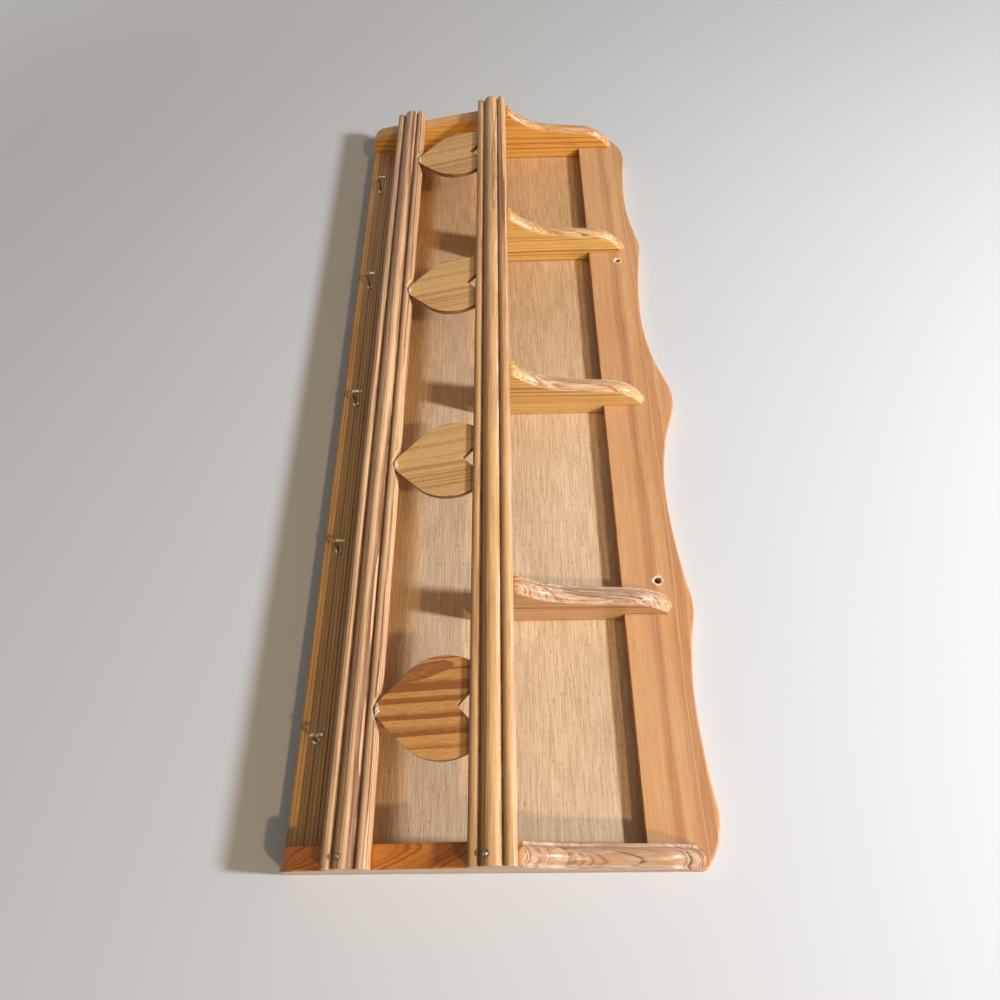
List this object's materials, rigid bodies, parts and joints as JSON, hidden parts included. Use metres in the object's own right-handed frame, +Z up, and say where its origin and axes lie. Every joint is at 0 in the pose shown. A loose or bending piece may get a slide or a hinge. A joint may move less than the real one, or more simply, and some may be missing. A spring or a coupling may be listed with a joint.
{
  "type": "wall plate rack",
  "caption": "Varnished pine wall rack for plates, with ogee-nosed dividers, hearts between two front mouldings, and a row of brass cup hooks.",
  "frame": {"origin": "midway between the two wall screw holes, on the wall plane", "axes": "+X along the rack to its right end as seen from the front, -Y out of the wall to the front, +Z up"},
  "size_m": [0.8, 0.0734, 0.314],
  "materials": {
    "pine_rail": "satin",
    "pine_hook_rail": "satin",
    "pine_shelf": "satin",
    "pine_back": "satin",
    "pine_side": "satin",
    "pine_divider": "satin",
    "pine_moulding": "satin",
    "pine_heart": "satin",
    "hook_brass": "worn",
    "pin_steel": "satin",
    "nail_steel": "satin"
  },
  "bodies": {
    "root": {"top_rail": "pine_rail", "hook_rail": "pine_hook_rail", "shelf_board": "pine_shelf", "back_panel": "pine_back", "left_end_panel": "pine_side", "right_end_panel": "pine_side", "divider_left": "pine_divider", "divider_middle": "pine_divider", "divider_right": "pine_divider", "lower_moulding": "pine_moulding", "upper_moulding": "pine_moulding", "heart_1": "pine_heart", "heart_2": "pine_heart", "heart_3": "pine_heart", "heart_4": "pine_heart", "hook_1": "hook_brass", "hook_2": "hook_brass", "hook_3": "hook_brass", "hook_4": "hook_brass", "hook_5": "hook_brass", "lower_moulding_pins": "pin_steel", "upper_moulding_pins": "pin_steel", "top_rail_nails": "nail_steel", "divider_nails": "nail_steel", "back_panel_nails": "nail_steel", "hook_rail_nails": "nail_steel", "shelf_nails": "nail_steel"}
  },
  "joints": []
}
